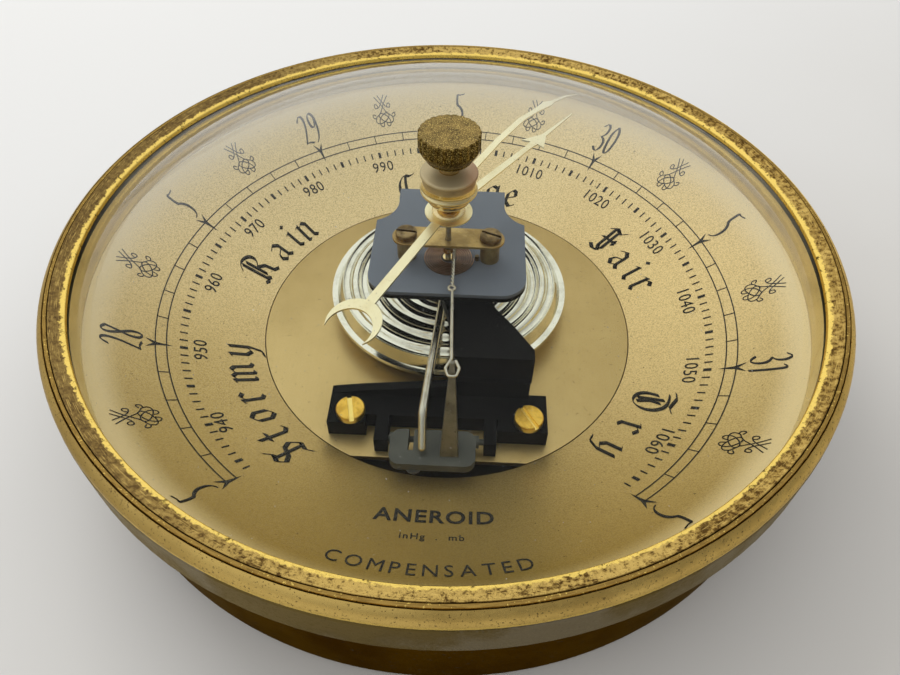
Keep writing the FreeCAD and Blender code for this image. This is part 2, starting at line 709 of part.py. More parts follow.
def knob():
    head_z = 43.0             # lower end of the fluted rim; below it the knob narrows to its neck
    edges = [
        line(point(0, knob_z), point(3.4, knob_z)),
        line(point(3.4, knob_z), point(3.55, knob_z + 0.15)),
        line(point(3.55, knob_z + 0.15), point(3.6, knob_z + 0.5)),
        arc(point(3.6, knob_z + 0.5), point(4.28, 42.2), point(knob_r, head_z)),
        line(point(knob_r, head_z), point(knob_r, knob_top_z - 0.15)),
        line(point(knob_r, knob_top_z - 0.15), point(knob_r - 0.15, knob_top_z)),
        line(point(knob_r - 0.15, knob_top_z), point(0, knob_top_z)),
        line(point(0, knob_top_z), point(0, knob_z)),
    ]
    body = revolved(edges)
    flutes = []
    for i in range(knob_flutes):
        a = 2 * math.pi * i / knob_flutes
        reach = knob_r + 0.1
        flutes.append(cylinder(0.4, head_z - 0.1, knob_top_z + 0.5, reach * math.cos(a), reach * math.sin(a)))
    body = body.cut(Part.makeCompound(flutes))
    body = body.cut(cylinder(shaft_r, 30, knob_z + 2.0))
    save("knob", body)
    save("knob_washer", ring(3.1, shaft_r + 0.03, crystal_apex_z + 0.06, knob_z - 0.02))


case_drum()
dial_sleeve()
dial()
spacer_ring()
crystal()
crystal_gasket()
bezel()
skirt_spring()
base_plate()
pillars()
pillar_screws()
bridge_frame()
frame_screws()
frame_nuts()
capsule_upper()
capsule_lower()
capsule_stud()
zero_screw()
capsule_boss()
temperature_rod()
rocker_plate()
rocker_pin()
rocker_lever()
pull_wire()
pull_chain()
arbor()
hairspring_parts()
strip_posts()
top_strip()
strip_screws()
indicator_hand()
hand_cap()
set_hand()
set_collar()
knob()
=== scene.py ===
import bpy
import json
import math
from mathutils import Matrix, Vector

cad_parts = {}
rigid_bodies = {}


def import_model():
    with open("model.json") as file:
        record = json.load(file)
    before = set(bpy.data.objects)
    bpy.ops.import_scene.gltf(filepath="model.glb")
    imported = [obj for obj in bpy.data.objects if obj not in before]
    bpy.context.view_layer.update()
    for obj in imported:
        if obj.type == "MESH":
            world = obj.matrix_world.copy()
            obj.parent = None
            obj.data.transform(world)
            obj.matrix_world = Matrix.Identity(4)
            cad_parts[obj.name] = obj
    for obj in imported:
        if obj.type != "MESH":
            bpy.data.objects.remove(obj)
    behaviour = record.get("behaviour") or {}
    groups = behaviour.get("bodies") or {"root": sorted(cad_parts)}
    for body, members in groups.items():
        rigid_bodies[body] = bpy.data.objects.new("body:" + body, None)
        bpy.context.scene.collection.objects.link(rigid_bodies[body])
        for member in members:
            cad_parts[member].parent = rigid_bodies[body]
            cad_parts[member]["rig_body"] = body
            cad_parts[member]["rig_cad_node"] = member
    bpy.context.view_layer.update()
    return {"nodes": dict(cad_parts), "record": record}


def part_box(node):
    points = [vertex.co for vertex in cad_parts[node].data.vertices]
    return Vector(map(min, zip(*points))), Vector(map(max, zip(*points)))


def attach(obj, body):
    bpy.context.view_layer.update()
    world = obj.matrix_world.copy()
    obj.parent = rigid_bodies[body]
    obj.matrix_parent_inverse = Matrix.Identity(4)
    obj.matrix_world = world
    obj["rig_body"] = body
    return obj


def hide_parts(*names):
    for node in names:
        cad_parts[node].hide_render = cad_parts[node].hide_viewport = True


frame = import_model()
nodes = frame["nodes"]
mm = 0.001
print("frame loaded,", len(nodes), "nodes")

# camera: stands above the bottom of the dial and looks down across it
cameraSettings = {
    "place": (0.00343, -0.0890, 0.1026),
    "heading": 1.855,     # degrees to the left
    "tilt": 48.796,       # degrees below the horizon
    "roll": 0.976,
    "lens": 28.67,
}


def aimCamera(s):
    bpy.ops.object.camera_add(location=s["place"])
    camera = bpy.context.object
    camera.name = "viewCamera"
    aim = Matrix.Rotation(math.radians(s["heading"]), 3, "Z")
    aim = aim @ Matrix.Rotation(math.radians(90 - s["tilt"]), 3, "X")
    aim = aim @ Matrix.Rotation(math.radians(s["roll"]), 3, "Z")
    camera.rotation_euler = aim.to_euler()
    camera.data.lens = s["lens"]
    camera.data.sensor_width = 36
    camera.data.clip_start = 0.005
    bpy.context.scene.camera = camera


aimCamera(cameraSettings)


# shader maths: a socket that adds, multiplies and compares like a number
class Level:
    def __init__(self, finish, socket):
        self.finish = finish
        self.socket = socket

    def __add__(self, other):
        return self.finish.maths("ADD", self, other)

    def __radd__(self, other):
        return self.finish.maths("ADD", other, self)

    def __sub__(self, other):
        return self.finish.maths("SUBTRACT", self, other)

    def __rsub__(self, other):
        return self.finish.maths("SUBTRACT", other, self)

    def __mul__(self, other):
        return self.finish.maths("MULTIPLY", self, other)

    def __rmul__(self, other):
        return self.finish.maths("MULTIPLY", other, self)

    def __truediv__(self, other):
        return self.finish.maths("DIVIDE", self, other)

    def __pow__(self, other):
        return self.finish.maths("POWER", self, other)


class Finish:
    def __init__(self, name, centre=(0, 0)):
        self.material = bpy.data.materials.new(name)
        self.material.use_nodes = True
        self.tree = self.material.node_tree
        self.tree.nodes.clear()
        self.place = self.node("ShaderNodeTexCoord", {}, {}, "Object")
        split = {"Vector": self.place}
        self.x = self.node("ShaderNodeSeparateXYZ", {}, split, "X") * 1000 - centre[0]   # millimetres
        self.y = self.node("ShaderNodeSeparateXYZ", {}, split, "Y") * 1000 - centre[1]
        self.z = self.node("ShaderNodeSeparateXYZ", {}, split, "Z") * 1000
        self.radius = (self.x * self.x + self.y * self.y) ** 0.5

    def node(self, kind, settings=None, inputs=None, output=0):
        made = self.tree.nodes.new(kind)
        for key, value in (settings or {}).items():
            setattr(made, key, value)
        for key, value in (inputs or {}).items():
            if isinstance(value, Level):
                self.tree.links.new(value.socket, made.inputs[key])
            else:
                made.inputs[key].default_value = value
        return Level(self, made.outputs[output])

    def maths(self, operation, *values):
        return self.node("ShaderNodeMath", {"operation": operation}, dict(enumerate(values)))

    def mix(self, share, first, second):
        return self.node("ShaderNodeMix", {"data_type": "RGBA"}, {0: share, 6: first, 7: second}, 2)

    def step(self, value, edge, soft):     # 0 below the edge, 1 above it
        return self.node("ShaderNodeMapRange", {"interpolation_type": "SMOOTHSTEP"},
                         {"Value": value, "From Min": edge - soft, "From Max": edge + soft})

    def noise(self, size, detail=3, rough=0.5, vector=None, twist=0):
        return self.node("ShaderNodeTexNoise", {}, {
            "Vector": vector or self.place, "Scale": (1 if vector else 1000) / size,
            "Detail": detail, "Roughness": rough, "Distortion": twist})

    def stretched(self, turn, scale):      # place in mm, turned about Z and scaled, for long scratches
        return self.node("ShaderNodeMapping", {}, {
            "Vector": self.place, "Rotation": (0, 0, math.radians(turn)),
            "Scale": tuple(1000 * v for v in scale)})

    def ringed(self, along=6.0):           # radius, angle and height, for marks that run round a spun part
        angle = self.maths("ARCTAN2", self.y, self.x)
        return self.node("ShaderNodeCombineXYZ", {}, {"X": self.radius, "Y": angle * along, "Z": self.z})

    def bump(self, height, distance, strength=1.0):
        return self.node("ShaderNodeBump", {}, {"Height": height, "Distance": distance * mm, "Strength": strength})

    def principled(self, values):
        return self.node("ShaderNodeBsdfPrincipled", {}, values)

    def done(self, shader):
        end = self.tree.nodes.new("ShaderNodeOutputMaterial")
        self.tree.links.new(shader.socket, end.inputs["Surface"])
        return self.material


def tone(red, green, blue):
    # screen colour, 0 to 255, as a linear colour
    linear = [v / 255 / 12.92 if v < 10.3 else ((v / 255 + 0.055) / 1.055) ** 2.4 for v in (red, green, blue)]
    return (*linear, 1)


# plain metals share one recipe: clouded tarnish, specks, and grain along a direction or round the axis
metalSettings = {
    "drumBrass": {
        "colour": tone(112, 88, 36), "tarnish": tone(66, 48, 14), "edge": tone(176, 160, 120),
                "cloud": 14, "stain": (0.52, 0.16, 0.7),
        "speck": (0.55, 0.66, 0.5), "speckColour": tone(36, 26, 12), "grain": (0.25, 0.05), "around": True,
        "rough": (0.3, 0.14), "depth": 0.008,
    },
    "sleeveBrass": {
        "colour": tone(150, 124, 74), "tarnish": tone(90, 72, 42), "cloud": 9, "stain": (0.5, 0.2, 0.6),
        "speck": (0.6, 0.68, 0.5), "speckColour": tone(50, 38, 22), "grain": (0.3, 0.06), "around": True,
        "rough": (0.4, 0.15), "depth": 0.01,
    },
    "plateGold": {
        "colour": tone(220, 194, 136), "tarnish": tone(180, 154, 98), "cloud": 22, "stain": (0.5, 0.25, 0.5),
        "speck": (0.4, 0.7, 0.5), "speckColour": tone(110, 88, 50), "grain": (0.12, 0.14), "turn": 0,
        "rough": (0.36, 0.12), "depth": 0.006,
    },
    "handBrass": {
        "colour": tone(252, 243, 206), "tarnish": tone(226, 206, 148), "cloud": 5, "stain": (0.6, 0.12, 0.4),
        "speck": (0.35, 0.7, 0.5), "speckColour": tone(120, 96, 56), "grain": (0.14, 0.1), "turn": 30,
        "rough": (0.26, 0.12), "depth": 0.004,
    },
    "screwBrass": {
        "colour": tone(244, 200, 92), "tarnish": tone(176, 128, 44), "cloud": 2.2, "stain": (0.55, 0.12, 0.6),
        "speck": (0.3, 0.68, 0.7), "speckColour": tone(70, 48, 20), "grain": (0.1, 0.1), "turn": 20,
        "rough": (0.18, 0.14), "depth": 0.004,
    },
    "frameScrewBrass": {
        "colour": tone(238, 196, 88), "tarnish": tone(186, 140, 48), "cloud": 1.4, "stain": (0.55, 0.1, 0.6),
        "speck": (0.22, 0.66, 0.7), "speckColour": tone(120, 84, 24), "grain": (0.1, 0.1), "turn": 20,
        # painted highlight: the screw slot floors are painted brighter
        "rough": (0.22, 0.14), "depth": 0.004, "cut": ("frame_screws", 0.4, tone(255, 232, 140)),
    },
    "stripBrass": {
        "colour": tone(206, 178, 118), "tarnish": tone(132, 104, 62), "cloud": 3, "stain": (0.52, 0.14, 0.6),
        "speck": (0.3, 0.68, 0.6), "speckColour": tone(70, 52, 30), "grain": (0.1, 0.12), "turn": 90,
        "rough": (0.3, 0.15), "depth": 0.004,
    },
    "darkBrass": {
        "colour": tone(168, 144, 100), "tarnish": tone(84, 66, 42), "cloud": 1.6, "stain": (0.5, 0.15, 0.8),
        "speck": (0.25, 0.66, 0.7), "speckColour": tone(30, 22, 14), "grain": (0.1, 0.08), "turn": 15,
        "rough": (0.3, 0.2), "depth": 0.004,
    },
    "polishedBrass": {
        "colour": tone(236, 214, 164), "tarnish": tone(186, 156, 104), "cloud": 2.5, "stain": (0.58, 0.12, 0.5),
        "speck": (0.25, 0.7, 0.6), "speckColour": tone(96, 70, 40), "grain": (0.15, 0.04), "around": True,
        "rough": (0.1, 0.1), "depth": 0.002,
    },
    "greySteel": {
        "colour": tone(176, 174, 168), "tarnish": tone(112, 106, 98), "cloud": 2.0, "stain": (0.54, 0.14, 0.6),
        "speck": (0.25, 0.68, 0.6), "speckColour": tone(60, 50, 42), "grain": (0.1, 0.08), "turn": 0,
        "rough": (0.26, 0.16), "depth": 0.003,
    },
    "leverSteel": {
        "colour": tone(148, 144, 132), "tarnish": tone(96, 90, 78), "cloud": 2.4, "stain": (0.52, 0.16, 0.6),
        "speck": (0.3, 0.68, 0.6), "speckColour": tone(48, 40, 32), "grain": (0.12, 0.1), "turn": 0,
        "rough": (0.36, 0.16), "depth": 0.004,
    },
    "brightSteel": {
        "colour": tone(214, 210, 198), "tarnish": tone(150, 142, 124), "cloud": 2.4, "stain": (0.56, 0.14, 0.5),
        "speck": (0.25, 0.7, 0.5), "speckColour": tone(80, 70, 56), "grain": (0.1, 0.1), "turn": 0,
        "rough": (0.16, 0.12), "depth": 0.002,
    },
    "copperSpring": {
        "colour": tone(190, 152, 122), "tarnish": tone(120, 88, 68), "cloud": 1.5, "stain": (0.52, 0.14, 0.6),
        "speck": (0.2, 0.7, 0.5), "speckColour": tone(70, 40, 26), "grain": (0.1, 0.06), "around": True,
        "rough": (0.24, 0.12), "depth": 0.002,
    },
}


def metal(name, s):
    f = Finish(name)
    edge, soft, amount = s["stain"]
    stain = f.step(f.noise(s["cloud"], 5, 0.62), edge, soft) * amount
    size, level, strength = s["speck"]
    specks = f.step(f.noise(size, 2, 0.5), level, 0.035) * strength
    width, length = s["grain"]
    if s.get("around"):
        grain = f.noise(width, 3, 0.6, f.ringed(length * 10))
    else:
        grain = f.noise(1.0, 3, 0.6, f.stretched(s["turn"], (1 / width, length, 1 / width)))
    base = f.mix(stain, s["colour"], s["tarnish"])
    base = f.mix(specks, base, s["speckColour"])
    base = f.mix(grain * 0.25, base, s["tarnish"])
    if "cut" in s:                         # painted highlight: the slot floors below the face are painted brighter
        node, deep, slotHighlight = s["cut"]
        below = 1 - f.step(f.z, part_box(node)[1].z * 1000 - deep, 0.1)
        base = f.mix(below * 0.8, base, slotHighlight)
    low, spread = s["rough"]
    rough = low + grain * spread + stain * 0.12 + specks * 0.2
    normal = f.bump(grain * 0.6 + f.noise(size * 3, 4, 0.6) - specks, s["depth"])
    return f.done(f.principled({"Base Color": base, "Roughness": rough, "Metallic": 1 - specks * 0.5,
                                "Specular Tint": s.get("edge", (1, 1, 1, 1)), "Normal": normal}))


# the bezel's brass changes from the sight opening outward: bright worn lip, dull cone, thin ring, outer face, skirt;
# painted shade makes the left side of the cone and outer face browner
bezelSettings = {
    "bright": tone(244, 212, 112), "cone": tone(158, 128, 66), "coneDark": tone(88, 64, 30),
            "pale": tone(222, 190, 110),
    "dark": tone(30, 20, 8), "skirt": tone(112, 96, 56), "skirtDark": tone(78, 64, 34), "spot": tone(56, 38, 14),
    "skirtPale": tone(196, 188, 168), "taupe": tone(106, 86, 54), "sheen": tone(238, 226, 200),
    "lipR": 58.75, "lineR": 60.42, "grooveR": 61.06, "seamZ": 24.84,
}


def bezelBrass(s):
    f = Finish("bezelBrass")
    wander = (f.noise(1.3, 4, 0.7) - 0.5) * 1.3 + (f.noise(0.45, 2, 0.5) - 0.5) * 0.7
    mottle = f.noise(0.8, 5, 0.7)
    fine = f.noise(0.32, 3, 0.6)
    longCloud = f.noise(11, 3, 0.55)
    scratch = f.noise(0.11, 3, 0.65, f.ringed(3))
    sides = f.maths("ABSOLUTE", f.x) * (1 / 62.5)
    cone = f.mix(f.step(mottle + longCloud * 0.35, 0.72, 0.07), s["cone"], s["coneDark"])
    worn = 1 - f.step(mottle + sides * 0.16 + longCloud * 0.5, 0.8, 0.1)
    cone = f.mix(worn * 0.6, cone, s["pale"])
    # painted shade: the left side of the cone is painted browner
    cone = f.mix(f.step(f.x * -1, 26, 22) * 0.72, cone, s["taupe"])
    cone = f.mix(f.step(fine, 0.64, 0.03) * 0.7, cone, s["spot"])
    cone = f.mix(f.step(scratch, 0.6, 0.05) * 0.6, cone, s["pale"])
    lip = f.mix(f.step(mottle, 0.62, 0.04) * 0.9, s["bright"], s["spot"])
    top = f.mix(f.step(f.radius + wander, s["lipR"], 0.12), lip, cone)
    outer = f.mix(f.step(longCloud, 0.5, 0.12) * 0.3, s["pale"], s["cone"])
    # painted shade: the left side of the outer face is painted browner
    outer = f.mix(f.step(f.x * -1, 30, 20) * 0.6, outer, s["taupe"])
    outer = f.mix(f.step(fine, 0.63, 0.03) * 0.75, outer, s["spot"])
    ring = f.mix(f.step(scratch, 0.52, 0.08) * 0.5, s["cone"], s["coneDark"])
    ring = f.mix(f.step(fine, 0.64, 0.03) * 0.7, ring, s["bright"])
    top = f.mix(f.step(f.radius, s["lineR"], 0.05), top, ring)
    top = f.mix(f.step(f.radius + wander * 0.1, s["grooveR"], 0.08), top, outer)
    for edge, share in ((s["lineR"], 0.7), (s["grooveR"], 0.85)):
        line = 1 - f.step(f.maths("ABSOLUTE", f.radius - edge), 0.06, 0.04)
        top = f.mix(line * share, top, s["dark"])
    skirt = f.mix(f.step(longCloud, 0.5, 0.16), s["skirt"], s["skirtDark"])
    skirt = f.mix(f.step(longCloud + fine * 0.2, 0.62, 0.1) * 0.3, skirt, s["skirtPale"])
    skirt = f.mix(f.step(fine, 0.7, 0.03) * 0.5, skirt, s["dark"])
    ragged = f.z + wander * 0.45
    above = f.step(ragged, s["seamZ"] + 0.15, 0.1)
    base = f.mix(above, skirt, top)
    glint = f.step(ragged, s["seamZ"] + 0.15, 0.06) * (1 - f.step(ragged, s["seamZ"] + 0.6, 0.14))
    base = f.mix(glint * f.step(mottle, 0.4, 0.06) * 0.8, base, s["bright"])
    pits = f.step(fine, 0.63, 0.05)
    rough = 0.3 + (1 - above) * 0.1 + pits * 0.2 + fine * 0.08 - worn * 0.08
    height = scratch * 0.3 + mottle * 0.5 - pits * 0.6
    return f.done(f.principled({"Base Color": base, "Roughness": rough, "Metallic": 1 - pits * 0.3,
                                "Specular Tint": s["sheen"], "Normal": f.bump(height, 0.025)}))


# the dial is a satin gold lacquer with fine grain; painted shade makes it browner towards the bottom, painted
# highlights make it paler towards the far left and at the turned-up border
dialSettings = {
    "gold": tone(240, 212, 154), "brown": tone(176, 148, 78), "grainDark": tone(140, 112, 58),
    "pale": tone(252, 230, 182), "speck": tone(84, 66, 36), "rimR": 55.5,
}


def dialGold(s):
    f = Finish("dialGold")
    cloud = f.noise(34, 3, 0.5)
    grain = f.noise(0.24, 3, 0.75)
    # painted shade: browner towards the bottom, gold towards the top
    base = f.mix(f.step(f.y + cloud * 30, -6, 36), s["brown"], s["gold"])
    # painted highlight: paler towards the far left
    base = f.mix(f.step(f.y - f.x * 0.3 + cloud * 24, 36, 30) * 0.8, base, s["pale"])
    base = f.mix(f.step(grain, 0.54, 0.12) * 0.5, base, s["grainDark"])
    base = f.mix(f.step(f.noise(0.5, 2, 0.5), 0.73, 0.03) * 0.7, base, s["speck"])
    paintedRimLight = f.step(f.radius, s["rimR"], 2.2)            # painted light: the turned-up border is painted paler and less metallic
    base = f.mix(paintedRimLight * 0.7, base, s["pale"])
    rough = 0.32 + grain * 0.12
    normal = f.bump(grain + f.noise(0.6, 3, 0.5) * 0.5, 0.006)
    return f.done(f.principled({"Base Color": base, "Roughness": rough, "Metallic": 0.75 - paintedRimLight * 0.45,
            "Specular IOR Level": 0.3,
                                "Normal": normal}))


# capsule: bright pressed sheet, with a cloudy stain and dark specks
capsuleSettings = {"silver": tone(238, 236, 222), "grey": tone(164, 160, 144), "dark": tone(58, 54, 44),
                   "centre": (0, 5.0)}


def capsuleSilver(s):
    f = Finish("capsuleSilver", s["centre"])
    cloud = f.noise(5, 4, 0.6)
    lines = f.noise(0.22, 3, 0.6, f.ringed(1.2))
    base = f.mix(f.step(cloud, 0.56, 0.14) * 0.35, s["silver"], s["grey"])
    base = f.mix(f.step(f.noise(0.4, 2, 0.5), 0.72, 0.04) * 0.5, base, s["dark"])
    rough = 0.07 + lines * 0.1 + f.step(cloud, 0.55, 0.15) * 0.05
    normal = f.bump(lines, 0.003)
    return f.done(f.principled({"Base Color": base, "Roughness": rough, "Metallic": 1.0, "Normal": normal}))


# moulded parts: black frame with a polished upper face painted with a blue-grey reflection, grey rocker, and a
# dusting of lint
mouldedSettings = {
    "framePlastic": {"colour": tone(3, 3, 3), "worn": tone(10, 10, 9), "dust": tone(120, 120, 114),
                     # the blue-grey face colour is a painted reflection on the frame's upper face
                     "rough": (0.5, 0.2), "dustShare": 0.55, "shine": 0.1, "face": tone(112, 118, 130),
                             "faceZ": 20.3},
    "rockerPlastic": {"colour": tone(66, 67, 62), "worn": tone(86, 87, 80), "dust": tone(140, 140, 130),
                      "rough": (0.45, 0.16), "dustShare": 0.5, "shine": 0.4},
    "gasketRubber": {"colour": tone(20, 18, 15), "worn": tone(38, 34, 28), "dust": tone(90, 84, 70),
                     "rough": (0.6, 0.2), "dustShare": 0.3, "shine": 0.3},
}


def moulded(name, s):
    f = Finish(name)
    cloud = f.noise(3.5, 4, 0.6)
    dust = f.step(f.noise(0.35, 3, 0.6), 0.68, 0.03) * f.step(f.noise(4, 2, 0.5), 0.45, 0.15) * s["dustShare"]
    base = f.mix(f.step(cloud, 0.52, 0.14) * 0.6, s["colour"], s["worn"])
    low, spread = s["rough"]
    rough = low + f.noise(0.7, 3, 0.6) * spread + dust * 0.2
    height = f.noise(0.5, 4, 0.6)
    if "face" in s:
        # painted reflection: the frame's upper face is painted blue-grey, and is made smoother
        face = f.step(f.z, s["faceZ"], 0.25)
        base = f.mix(face * (0.8 + f.noise(9, 3, 0.5) * 0.25), base, s["face"])
        rough = rough * (1 - face * 0.6)
        height = height * (1 - face * 0.8)
    base = f.mix(dust, base, s["dust"])
    return f.done(f.principled({"Base Color": base, "Roughness": rough, "Specular IOR Level": s["shine"],
                                "Normal": f.bump(height, 0.012)}))


# clear dome: see-through, with reflections that grow towards grazing, faint haze and dust, and a painted pale
# reflection along its far border
crystalSettings = {"tint": tone(250, 251, 249), "dust": tone(236, 236, 230), "hazeShare": 0.002,
                   "edgeR": 56.6, "borderR": 54.5}     # mm: where the reflection fades, where the painted far-border reflection starts


def clearCrystal(s):
    f = Finish("clearCrystal")
    facing = f.node("ShaderNodeLayerWeight", {}, {"Blend": 0.5}, "Facing")
    farSide = f.step(f.y, 12, 20)
    border = f.step(f.radius, s["edgeR"], 0.7) * (1 - farSide)      # little light comes back through the edge
    mirror = (0.005 + facing ** 5.0 * 0.9) * (1 - border * 0.92)
    glass = f.node("ShaderNodeBsdfTransparent", {}, {"Color": s["tint"]})
    waves = f.bump(f.noise(7, 2, 0.5), 0.01)
    shine = f.principled({"Base Color": (1, 1, 1, 1), "Roughness": 0.03 + f.noise(3, 3, 0.5) * 0.03,
                          "Metallic": 1.0, "Normal": waves})
    clear = f.node("ShaderNodeMixShader", {}, {0: mirror, 1: glass, 2: shine})
    dust = f.step(f.noise(0.42, 2, 0.5), 0.76, 0.02) * 0.35
    haze = s["hazeShare"] * f.step(f.noise(16, 3, 0.5), 0.48, 0.15)
    paintedRimLight = f.step(f.radius, s["borderR"], 3.2) * f.step(f.y + f.maths("ABSOLUTE", f.x) * 0.25, 26, 24)
    haze = haze + paintedRimLight * (0.14 + f.step(f.noise(7, 3, 0.5), 0.5, 0.2) * 0.08)     # painted reflection: a pale band along the far border
    film = f.principled({"Base Color": s["dust"], "Roughness": 0.7 + f.noise(0.4, 2, 0.5) * 0.2})
    return f.done(f.node("ShaderNodeMixShader", {}, {0: dust + haze, 1: clear, 2: film}))


# knob: old brass gone brown, finely speckled, darker down the side
knobSettings = {"brass": tone(150, 124, 66), "brown": tone(96, 76, 34), "dark": tone(44, 32, 10),
                "fleck": tone(226, 200, 116), "sideZ": 45.1}


def knobBrass(s):
    f = Finish("knobBrass")
    cloud = f.noise(1.8, 4, 0.6)
    fine = f.noise(0.14, 3, 0.65)
    base = f.mix(f.step(cloud, 0.5, 0.2), s["brass"], s["brown"])
    base = f.mix((1 - f.step(f.z, s["sideZ"], 0.2)) * 0.6, base, s["dark"])
    base = f.mix(f.step(fine, 0.54, 0.08) * 0.55, base, s["dark"])
    base = f.mix(f.step(f.noise(0.16, 2, 0.5), 0.58, 0.04) * 0.75, base, s["fleck"])
    rough = 0.34 + fine * 0.2
    return f.done(f.principled({"Base Color": base, "Roughness": rough, "Metallic": 0.95,
                                "Normal": f.bump(fine + cloud * 0.3, 0.012)}))


# collar under the crystal: glassy polish below; over its upper half a painted pinkish reflection, with the surface
# rougher and less metallic there
collarSettings = {"gold": tone(238, 220, 172), "shade": tone(150, 122, 74), "haze": tone(208, 188, 152),
                  "blush": tone(184, 134, 104), "hazeZ": 36.9}


def collarBrass(s):
    f = Finish("collarBrass")
    cloud = f.noise(2.2, 4, 0.6)
    # painted reflection: the upper half is painted a hazy pink, pinker towards +X
    upper = f.step(f.z + cloud * 0.3, s["hazeZ"], 0.25)
    haze = f.mix(f.step(f.x + cloud * 2, 3.4, 1.4) * 0.7, s["haze"], s["blush"])
    base = f.mix(f.step(cloud, 0.6, 0.1) * 0.4, s["gold"], s["shade"])
    base = f.mix(upper, base, haze)
    rough = 0.09 + upper * 0.36 + cloud * 0.06
    return f.done(f.principled({"Base Color": base, "Roughness": rough, "Metallic": 1 - upper * 0.45,
                                "Normal": f.bump(cloud, 0.01)}))


inkSettings = {"ink": tone(40, 38, 34), "thin": tone(84, 78, 64)}


def dialInk(s):
    f = Finish("dialInk")
    wear = f.step(f.noise(0.5, 3, 0.6), 0.6, 0.08) * 0.6
    base = f.mix(wear, s["ink"], s["thin"])
    return f.done(f.principled({"Base Color": base, "Roughness": 0.6 + wear * 0.2, "Specular IOR Level": 0.15}))


floorSettings = {"white": tone(226, 226, 225), "shade": tone(190, 184, 175), "size": 6.0}


def tableWhite(s):
    f = Finish("tableWhite")
    paintedFalloff = f.y * 0.75 - f.x * 0.6 + (f.noise(90, 3, 0.5) - 0.5) * 60      # painted light: paler towards the far left, darker towards the near right
    base = f.mix(f.step(paintedFalloff, -60, 170), s["shade"], s["white"])
    return f.done(f.principled({"Base Color": base, "Roughness": 0.55 + f.noise(2, 2, 0.5) * 0.1}))


finishes = {name: metal(name, s) for name, s in metalSettings.items()}
finishes.update({name: moulded(name, s) for name, s in mouldedSettings.items()})
finishes["bezelBrass"] = bezelBrass(bezelSettings)
finishes["dialGold"] = dialGold(dialSettings)
finishes["capsuleSilver"] = capsuleSilver(capsuleSettings)
finishes["clearCrystal"] = clearCrystal(crystalSettings)
finishes["knobBrass"] = knobBrass(knobSettings)
finishes["collarBrass"] = collarBrass(collarSettings)
finishes["dialInk"] = dialInk(inkSettings)
print("finishes made:", len(finishes))

# which finish each CAD node wears
nodeFinish = {
    "drumBrass": ["case_drum"],
    "sleeveBrass": ["dial_sleeve", "skirt_spring"],
    "bezelBrass": ["bezel"],
    "dialGold": ["dial"],
    "clearCrystal": ["crystal"],
    "gasketRubber": ["crystal_gasket"],
    "plateGold": ["base_plate"],
    "framePlastic": ["bridge_frame"],
    "rockerPlastic": ["rocker_plate", "rocker_pin"],
    "frameScrewBrass": ["frame_screws"],
    "screwBrass": ["frame_nuts", "plate_screws", "pillars"],
    "stripBrass": ["top_strip", "strip_posts"],
    "darkBrass": ["strip_screws", "hairspring_stud"],
    "capsuleSilver": ["capsule_upper", "capsule_lower"],
    "polishedBrass": ["capsule_stud", "capsule_nut", "capsule_boss", "chain_drum", "hairspring_collet",
                      "hand_cap", "hand_bush", "set_boss", "set_shaft"],
    "collarBrass": ["set_collar"],
    "greySteel": ["case_screws", "zero_screw", "arbor", "rocker_weight"],
    "brightSteel": ["temperature_rod", "pull_wire", "pull_chain"],
    "leverSteel": ["rocker_lever"],
    "copperSpring": ["hairspring"],
    "handBrass": ["indicator_hand", "set_hand", "spacer_ring"],
    "knobBrass": ["knob", "knob_washer"],
}
finishOf = {node: name for name, group in nodeFinish.items() for node in group}
for node, name in finishOf.items():
    for slot in nodes[node].material_slots:
        slot.material = finishes[name]


# small modelling helpers
def deselect():
    bpy.ops.object.select_all(action="DESELECT")


def choose(piece):
    deselect()
    piece.select_set(True)
    bpy.context.view_layer.objects.active = piece


def toMesh(piece):
    choose(piece)
    bpy.ops.object.convert(target="MESH")
    return bpy.context.object


def joined(name, pieces):
    deselect()
    for piece in pieces:
        piece.select_set(True)
    bpy.context.view_layer.objects.active = pieces[0]
    bpy.ops.object.join()
    whole = bpy.context.object
    whole.name = name
    return whole


def addModifier(piece, kind, settings):
    choose(piece)
    modifier = piece.modifiers.new("shape", kind)
    for key, value in settings.items():
        setattr(modifier, key, value)
    bpy.ops.object.modifier_apply(modifier=modifier.name)


def wear(piece, finish, body, slot):
    piece.data.materials.clear()
    piece.data.materials.append(finishes[finish])
    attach(piece, body)


# moulded, turned and stamped parts get their small edge rounds: a copy of the CAD shape, merged and bevelled
roundSettings = {
    "bridge_frame": {"width": 0.22, "segments": 3},
    "rocker_plate": {"width": 0.35, "segments": 3},
    "rocker_lever": {"width": 0.12, "segments": 2},
    "top_strip": {"width": 0.08, "segments": 2},
    "base_plate": {"width": 0.12, "segments": 2},
    "frame_screws": {"width": 0.16, "segments": 2},
    "strip_screws": {"width": 0.1, "segments": 2},
    "indicator_hand": {"width": 0.07, "segments": 2},
    "set_hand": {"width": 0.07, "segments": 2},
    "hand_cap": {"width": 0.1, "segments": 2},
    "set_collar": {"width": 0.12, "segments": 2},
    "set_boss": {"width": 0.1, "segments": 2},
    "knob": {"width": 0.12, "segments": 2},
    "plate_screws": {"width": 0.1, "segments": 2},
}
slotOf = {p["node"]: p["material_slot"] for p in frame["record"]["subparts"]}
bodyOf = {node: body for body, group in frame["record"]["behaviour"]["bodies"].items() for node in group}


def camel(name):
    words = name.split("_")
    return words[0] + "".join(w.capitalize() for w in words[1:])


